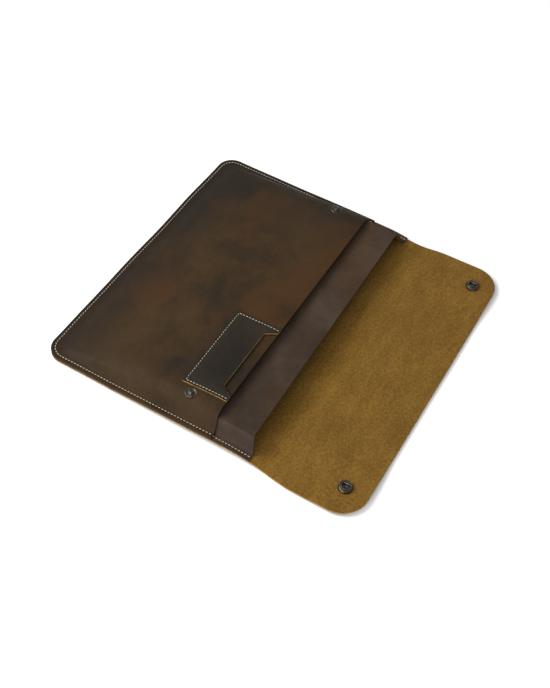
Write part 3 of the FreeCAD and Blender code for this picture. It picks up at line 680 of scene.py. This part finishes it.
class SLEEVE_OT_card_pocket(bpy.types.Operator):
    """Model the card pocket with its thumb cut-out"""
    bl_idname = "sleeve.card_pocket"
    bl_label = "Card pocket"

    def execute(self, context):
        plan = Plan(context.scene.sleeve_sizes)
        sizes = plan.sizes
        stock = materials()
        centre = (POCKET_LOW.x + POCKET_HIGH.x) / 2
        half = (POCKET_HIGH.x - POCKET_LOW.x) / 2
        back, tall = pocket_depth(plan)
        wide = half - sizes.notch_tab
        narrow = wide - sizes.notch_slant
        insets = [inset * MM for inset in (0, 0.5, 1.4, 2.1, 2.6, 3.1, 3.9, 5.0)]
        side = insets + [sizes.notch_tab, sizes.notch_tab + sizes.notch_slant / 2,
                         half - narrow]
        columns = [distance - half for distance in
                   stations(2 * half, side, side, 0.7 * sizes.cell)]
        rows = stations(1.0, [inset / tall for inset in insets], [0, 0.6 * MM / tall],
                        0.7 * sizes.cell / tall)

        def place(across, share):
            cut = min(max((wide - abs(across)) / (wide - narrow), 0), 1)
            mouth = tall - sizes.notch_depth * cut
            down = share * tall
            fixed = insets[-1]
            if down > fixed:
                down = fixed + (down - fixed) * (mouth - fixed) / (tall - fixed)
            x = centre + across
            y = back - down
            edge = min(half - abs(across), down)
            off = (edge - sizes.pocket_inset) / (0.5 * MM)
            z = plan.front_height(x, y) + sizes.pocket_leather
            z -= 0.25 * MM * math.exp(-off * off)
            z += sizes.card_gap * smooth(edge, 3.6 * MM, 9 * MM)
            return Vector((x, y, z))

        piece = cut_leather("card_pocket_leather", leather_grid(columns, rows, place),
                            sizes.pocket_leather,
                            [stock["sleeve_pocket"], stock["sleeve_suede"],
                             stock["sleeve_edge"]])
        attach(piece, "sleeve")
        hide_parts("card_pocket")
        return {"FINISHED"}


def seam_points(half, mouth, end, radius, pitch):
    """Points a stitch apart on a seam round three sides, as (across, along) pairs."""
    straight = mouth - end - radius
    bend = radius * math.pi / 2
    level = 2 * (half - radius)
    total = 2 * straight + 2 * bend + level
    count = round(total / pitch)
    points = []
    for index in range(count + 1):
        run = index * total / count
        mirrored = run > total / 2
        run = min(run, total - run)
        if run <= straight:
            place = (-half, mouth - run)
        elif run <= straight + bend:
            angle = (run - straight) / radius
            place = (-half + radius - radius * math.cos(angle),
                     end + radius - radius * math.sin(angle))
        else:
            place = (-half + radius + run - straight - bend, end)
        points.append((-place[0] if mirrored else place[0], place[1]))
    return points


def sew(name, points, radius, node, bare=0.30, slant=0.10):
    """One line of stitches between successive points, as short lens-shaped threads."""
    mesh = bmesh.new()
    for index, (begin, finish) in enumerate(zip(points, points[1:])):
        along = finish - begin
        reach = along.length * (1 - bare) / 2
        turn = along.to_track_quat("X", "Z").to_matrix().to_4x4()
        uneven = slant + 0.05 * noise.noise(Vector((index * 0.7, 0, 3.0)))
        matrix = (Matrix.Translation((begin + finish) / 2) @ turn
                  @ Matrix.Rotation(uneven, 4, "Z")
                  @ Matrix.Diagonal((reach, radius, radius * 0.85, 1)))
        bmesh.ops.create_uvsphere(mesh, u_segments=8, v_segments=6, radius=1,
                                  matrix=matrix @ Matrix.Rotation(math.pi / 2, 4, "Y"))
    for face in mesh.faces:
        face.smooth = True
    piece = new_object(name, mesh, [materials()["sleeve_thread"]])
    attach(piece, "sleeve")
    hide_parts(node)
    return piece


class SLEEVE_OT_seams(bpy.types.Operator):
    """Sew the body seam and the card pocket's seam, on both faces"""
    bl_idname = "sleeve.seams"
    bl_label = "Seams"

    def execute(self, context):
        plan = Plan(context.scene.sleeve_sizes)
        sizes = plan.sizes
        flat = seam_points(plan.half - sizes.seam_inset, plan.divider_length - 1.2 * MM,
                           sizes.seam_inset, sizes.outer_corner - sizes.seam_inset,
                           sizes.stitch_pitch)
        upper = []
        under = []
        for across, along in flat:
            x, y = plan.settled(across, along)
            inset = sizes.seam_inset
            rim = self.rim_height(plan, inset, along)
            upper.append(Vector((x, y, rim - sizes.groove + 0.25 * sizes.thread_radius)))
            low = plan.hide_top(inset, along) - HIDE_THICKNESS
            under.append(Vector((x, y, max(low, sizes.thread_radius * 0.9))))
        sew("seam_stitches", upper, sizes.thread_radius, "seam_thread")
        sew("seam_under_stitches", under, sizes.thread_radius, "seam_under_thread")

        half = (POCKET_HIGH.x - POCKET_LOW.x) / 2 - sizes.pocket_inset
        centre = (POCKET_LOW.x + POCKET_HIGH.x) / 2
        back, tall = pocket_depth(plan)
        seam = seam_points(half, tall - 1.0 * MM, sizes.pocket_inset, 0.8 * MM,
                           sizes.stitch_pitch)
        over = []
        inside = []
        for across, down in seam:
            x = centre + across
            y = back - down
            face = plan.front_height(x, y)
            over.append(Vector((x, y, face + sizes.pocket_leather - 0.12 * MM)))
            inside.append(Vector((x, y, face - sizes.front_leather)))
        sew("pocket_stitches", over, 0.9 * sizes.thread_radius, "pocket_thread")
        sew("pocket_under_stitches", inside, 0.9 * sizes.thread_radius, "pocket_under_thread")
        return {"FINISHED"}

    def rim_height(self, plan, inset, along):
        """Upper face that the seam's stitches lie on."""
        top = plan.front_top if along < plan.front_length else plan.divider_top
        return top(inset, along)


def turned(name, profile, steps=48):
    """Metal piece spun from a half profile of (radius, height) points."""
    mesh = bmesh.new()
    points = [mesh.verts.new((radius, 0, height)) for radius, height in profile]
    edges = [mesh.edges.new(pair) for pair in zip(points, points[1:])]
    bmesh.ops.spin(mesh, geom=points + edges, cent=(0, 0, 0), axis=(0, 0, 1),
                   angle=2 * math.pi, steps=steps, use_merge=True)
    bmesh.ops.remove_doubles(mesh, verts=mesh.verts, dist=0.002 * MM)
    bmesh.ops.recalc_face_normals(mesh, faces=mesh.faces)
    for face in mesh.faces:
        face.smooth = True
    return mesh


def rounded_profile(points, radius=0.22 * MM):
    """Half profile with each inner corner eased by two points."""
    eased = [points[0]]
    for before, corner, after in zip(points, points[1:], points[2:]):
        here = Vector(corner)
        for other in (before, after):
            step = Vector(other) - here
            eased.append(tuple(here + step.normalized() * min(radius, step.length * 0.4)))
    eased.append(points[-1])
    return eased


def add_metal(name, profile, matrix, body, node, look="sleeve_metal"):
    """Spin a metal piece, put it in place and hang it on its body."""
    mesh = turned(name, rounded_profile(profile))
    bmesh.ops.transform(mesh, matrix=matrix, verts=mesh.verts)
    piece = new_object(name, mesh, [materials()[look]])
    piece.data.set_sharp_from_angle(angle=math.radians(50))
    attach(piece, body)
    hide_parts(node)
    return piece


class SLEEVE_OT_snaps(bpy.types.Operator):
    """Turn the press fasteners: caps and sockets on the flap, studs and eyelets in front"""
    bl_idname = "sleeve.snaps"
    bl_label = "Press fasteners"

    def execute(self, context):
        plan = Plan(context.scene.sleeve_sizes)
        stock = materials()
        tilt = Matrix.Rotation(-FLAP_LIFT, 4, "X")
        for side in ("left", "right"):
            low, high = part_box(f"stud_{side}")
            centre = (low + high) / 2
            seat = plan.front_height(centre.x, centre.y)
            base = Matrix.Translation((centre.x, centre.y, seat))
            add_metal(f"stud_metal_{side}", [
                (1.3 * MM, 2.2 * MM), (1.3 * MM, 3.0 * MM), (2.2 * MM, 3.0 * MM),
                (2.8 * MM, 2.2 * MM), (2.3 * MM, 1.3 * MM), (2.4 * MM, 0.7 * MM),
                (3.6 * MM, 0.55 * MM), (4.4 * MM, 0.9 * MM), (5.4 * MM, 0.8 * MM),
                (5.8 * MM, 0.3 * MM), (5.7 * MM, 0), (2.0 * MM, 0)], base, "sleeve",
                f"stud_{side}")
            low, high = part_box(f"stud_post_{side}")
            centre = (low + high) / 2
            base = Matrix.Translation((centre.x, centre.y, seat + low.z - FRONT_HIGH.z))
            add_metal(f"eyelet_{side}", [
                (0, 0.25 * MM), (1.0 * MM, 0.2 * MM), (1.5 * MM, 0), (3.6 * MM, 0),
                (4.5 * MM, 0.3 * MM), (4.4 * MM, 0.6 * MM), (1.6 * MM, 0.6 * MM),
                (1.6 * MM, high.z - low.z - 0.2 * MM), (1.1 * MM, high.z - low.z),
                (0, high.z - low.z)], base, "sleeve", f"stud_post_{side}")
            low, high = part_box(f"socket_{side}")
            centre = (low + high) / 2
            middle = 1.5 * MM
            seat = Matrix.Translation(centre) @ tilt @ Matrix.Translation((0, 0, -middle))
            add_metal(f"socket_metal_{side}", [
                (2.3 * MM, 0), (6.9 * MM, 0), (7.0 * MM, 0.5 * MM), (6.6 * MM, 1.9 * MM),
                (6.2 * MM, 2.5 * MM), (5.6 * MM, 2.95 * MM), (4.9 * MM, 2.6 * MM),
                (4.4 * MM, 2.6 * MM), (4.1 * MM, 2.95 * MM), (3.7 * MM, 2.8 * MM),
                (3.8 * MM, 2.4 * MM), (6.0 * MM, 2.0 * MM), (6.1 * MM, 0.5 * MM),
                (2.3 * MM, 0.5 * MM)], seat, "flap", f"socket_{side}")
            cap = seat @ Matrix.Translation((0, 0, -HIDE_THICKNESS))
            dome = [(7.5 * MM * math.sin(angle), -1.0 * MM - 1.2 * MM * math.cos(angle))
                    for angle in (index * math.pi / 2 / 8 for index in range(9))]
            add_metal(f"cap_metal_{side}", dome + [
                (7.5 * MM, 0), (2.2 * MM, 0), (2.2 * MM, 2.5 * MM), (3.2 * MM, 2.6 * MM),
                (3.1 * MM, 2.9 * MM), (1.2 * MM, 2.9 * MM), (1.0 * MM, 2.4 * MM),
                (0, 2.4 * MM)], cap, "flap", f"cap_{side}")
            frame["nodes"][f"socket_spring_{side}"].data.materials.clear()
            frame["nodes"][f"socket_spring_{side}"].data.materials.append(stock["sleeve_wire"])
        return {"FINISHED"}


CAMERA_PLACE = Vector((-0.60665, -0.33377, 0.80379))
CAMERA_TURN = math.radians(-64.85)
CAMERA_ELEVATION = math.radians(51.76)
CAMERA_ROLL = math.radians(6.36)
CAMERA_LENS = 54.79


class SLEEVE_OT_stage(bpy.types.Operator):
    """Set the pale floor, the soft lights and the camera"""
    bl_idname = "sleeve.stage"
    bl_label = "Stage"

    def execute(self, context):
        mesh = bmesh.new()
        bmesh.ops.create_grid(mesh, x_segments=1, y_segments=1, size=6)
        shader = Shader("stage_paper")
        tooth = shader.noise(300, 2.0)
        paper = shader.finish(base=(0.93, 0.93, 0.93, 1), roughness=0.9 + tooth * 0.05,
                              specular=0.1)
        floor = new_object("stage_floor", mesh, [paper])

        world = bpy.data.worlds.new("stage_world")
        context.scene.world = world
        world.use_nodes = True
        world.node_tree.nodes["Background"].inputs["Color"].default_value = (1, 1, 1, 1)
        world.node_tree.nodes["Background"].inputs["Strength"].default_value = 0.62
        context.scene.view_settings.view_transform = "Standard"

        for name, place, size, power in (
                ("softbox_key", (-0.45, 1.3, 1.25), 1.0, 34),
                ("softbox_side", (-1.7, 0.1, 0.75), 0.9, 16)):
            light = bpy.data.lights.new(name, "AREA")
            light.energy = power
            light.size = size
            lamp = bpy.data.objects.new(name, light)
            lamp.location = place
            lamp.rotation_euler = (-Vector(place)).to_track_quat("-Z", "Y").to_euler()
            context.scene.collection.objects.link(lamp)

        lens = bpy.data.cameras.new("camera")
        lens.lens = CAMERA_LENS
        lens.sensor_width = 36
        camera = bpy.data.objects.new("camera", lens)
        camera.location = CAMERA_PLACE
        turn = (Matrix.Rotation(CAMERA_TURN, 3, "Z")
                @ Matrix.Rotation(math.pi / 2 - CAMERA_ELEVATION, 3, "X")
                @ Matrix.Rotation(CAMERA_ROLL, 3, "Z"))
        camera.rotation_euler = turn.to_euler()
        context.scene.collection.objects.link(camera)
        context.scene.camera = camera
        return {"FINISHED"}


class SLEEVE_PT_panel(bpy.types.Panel):
    """Sidebar panel that lists the sleeve's pieces"""
    bl_idname = "SLEEVE_PT_panel"
    bl_label = "Laptop Sleeve"
    bl_space_type = "VIEW_3D"
    bl_region_type = "UI"
    bl_category = "Sleeve"

    def draw(self, context):
        for operator in OPERATORS:
            self.layout.operator(operator.bl_idname)
        for group in (context.scene.sleeve_sizes, context.scene.sleeve_colours):
            for name in group.bl_rna.properties.keys():
                if name not in ("rna_type", "name"):
                    self.layout.prop(group, name)


OPERATORS = (SLEEVE_OT_hide, SLEEVE_OT_divider, SLEEVE_OT_front, SLEEVE_OT_card_pocket,
             SLEEVE_OT_seams, SLEEVE_OT_snaps, SLEEVE_OT_stage)
CLASSES = (SleeveSizes, SleeveColours, *OPERATORS, SLEEVE_PT_panel)


def register():
    """Register the classes and hang the two groups on the scene."""
    for item in CLASSES:
        bpy.utils.register_class(item)
    bpy.types.Scene.sleeve_sizes = bpy.props.PointerProperty(type=SleeveSizes)
    bpy.types.Scene.sleeve_colours = bpy.props.PointerProperty(type=SleeveColours)


def unregister():
    """Undo register."""
    del bpy.types.Scene.sleeve_colours
    del bpy.types.Scene.sleeve_sizes
    for item in reversed(CLASSES):
        bpy.utils.unregister_class(item)


def main():
    """Make every piece in order."""
    register()
    bpy.ops.sleeve.hide()
    bpy.ops.sleeve.divider()
    bpy.ops.sleeve.front()
    bpy.ops.sleeve.card_pocket()
    bpy.ops.sleeve.seams()
    bpy.ops.sleeve.snaps()
    bpy.ops.sleeve.stage()


if __name__ == "__main__":
    main()
